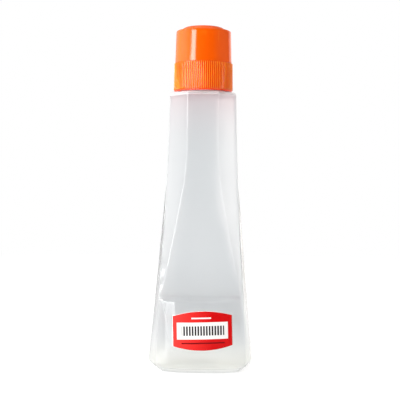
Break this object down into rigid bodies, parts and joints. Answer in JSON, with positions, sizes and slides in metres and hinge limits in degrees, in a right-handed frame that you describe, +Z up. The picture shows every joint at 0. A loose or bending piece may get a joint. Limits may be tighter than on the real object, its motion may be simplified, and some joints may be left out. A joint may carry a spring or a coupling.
{
  "type": "glue applicator bottle",
  "caption": "Flared squeeze bottle with a faceted grip, a net-covered sponge glue head pressed in its neck, and a ribbed screw cap.",
  "frame": {"origin": "centre of the rim that the bottle stands on", "axes": "+Z up along the neck, -Y towards the front with the label, +X to the right seen from the front"},
  "size_m": [0.0548, 0.0377, 0.1791],
  "materials": {
    "bottle_plastic": "frosted translucent polyethylene, satin",
    "label_paper": "red printed film sticker",
    "holder_plastic": "white moulded polyethylene",
    "ring_plastic": "white moulded polyethylene",
    "sponge_foam": "open-cell foam",
    "net_nylon": "fine woven nylon net",
    "seal_foam": "closed-cell foam washer",
    "cap_plastic": "orange moulded polypropylene, semi-gloss"
  },
  "bodies": {
    "bottle": {"bottle": "bottle_plastic", "label": "label_paper"},
    "applicator": {"applicator_holder": "holder_plastic", "mesh_ring": "ring_plastic"},
    "sponge_tip": {"sponge": "sponge_foam", "mesh_cover": "net_nylon"},
    "cap_carriage": {"cap_seal": "seal_foam"},
    "cap": {"cap_shell": "cap_plastic"}
  },
  "joints": [
    {"name": "applicator_pull", "type": "slide", "parent": "bottle", "child": "applicator", "axis": [0, 0, 1], "range_m": [0, 0.014]},
    {"name": "sponge_press", "type": "slide", "parent": "applicator", "child": "sponge_tip", "axis": [0, 0, -1], "range_m": [0, 0.002], "stiffness_N_per_m": 1500, "deforming": ["sponge", "mesh_cover"]},
    {"name": "cap_lift", "type": "slide", "parent": "applicator", "child": "cap_carriage", "axis": [0, 0, 1], "range_m": [0, 0.034]},
    {"name": "cap_turn", "type": "hinge", "parent": "cap_carriage", "child": "cap", "pos_m": [0, 0, 0.1452], "axis": [0, 0, 1], "range_deg": [0, 540]}
  ],
  "couplings": [
    {"joint": "cap_lift", "follows": "cap_turn", "m_per_rad": 0.0036075}
  ]
}
